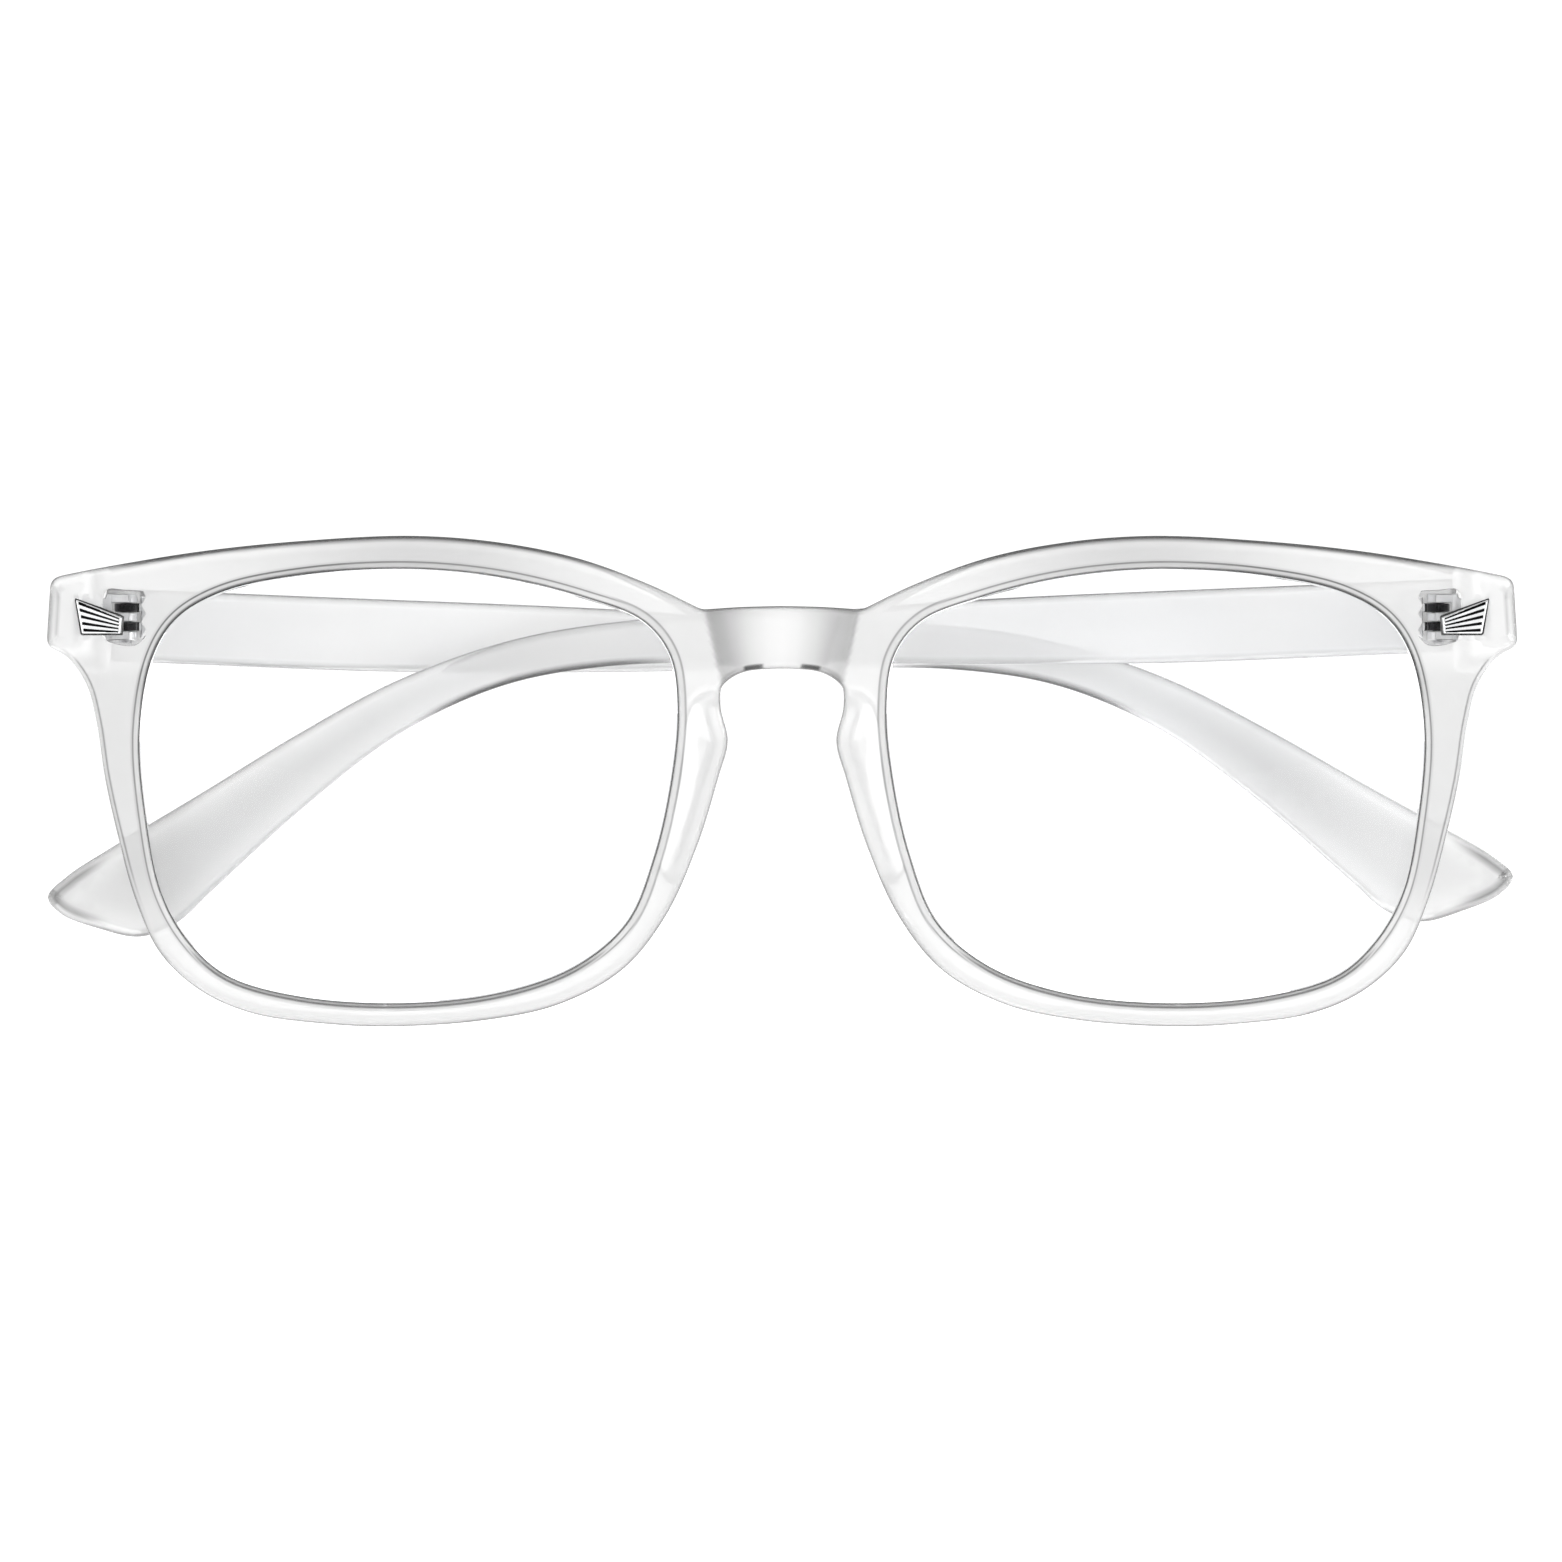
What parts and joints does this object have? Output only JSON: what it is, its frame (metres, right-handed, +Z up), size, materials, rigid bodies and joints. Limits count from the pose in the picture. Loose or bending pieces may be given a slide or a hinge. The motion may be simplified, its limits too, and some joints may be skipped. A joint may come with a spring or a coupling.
{
  "type": "eyeglasses",
  "caption": "Clear square-framed blue light glasses with plano lenses, moulded nose bridge, fan-shaped corner trims and hinged folding temples.",
  "frame": {"origin": "on the plane under the rims' lowest points, below the middle of the folded glasses", "axes": "+Z up along the front's height, -Y the way the wearer looks, +X to the wearer's left"},
  "size_m": [0.1416, 0.0226, 0.0472],
  "materials": {
    "clear_frame": "crystal-clear injection-moulded plastic, polished, very slightly hazy",
    "clear_temple": "the same clear plastic, softly polished",
    "coated_lens": "clear optical plastic with a faint blue reflex coating",
    "silver_trim": "bright silver plate with darkened grooves",
    "hinge_steel": "nickel-plated, satin",
    "screw_steel": "turned steel, slotted head"
  },
  "bodies": {
    "front": {"front_frame": "clear_frame", "left_lens": "coated_lens", "right_lens": "coated_lens", "left_corner_trim": "silver_trim", "right_corner_trim": "silver_trim", "left_front_hinge_leaf": "hinge_steel", "right_front_hinge_leaf": "hinge_steel", "left_hinge_screw": "screw_steel", "right_hinge_screw": "screw_steel"},
    "left_arm": {"left_temple": "clear_temple", "left_temple_hinge_leaf": "hinge_steel"},
    "right_arm": {"right_temple": "clear_temple", "right_temple_hinge_leaf": "hinge_steel"}
  },
  "joints": [
    {"name": "left_temple_hinge", "type": "hinge", "parent": "front", "child": "left_arm", "pos_m": [0.063, 0.0021, 0.0394], "axis": [0, 0, -1], "range_deg": [0, 94]},
    {"name": "right_temple_hinge", "type": "hinge", "parent": "front", "child": "right_arm", "pos_m": [-0.063, 0.0021, 0.0394], "axis": [0, 0, 1], "range_deg": [0, 90]}
  ]
}
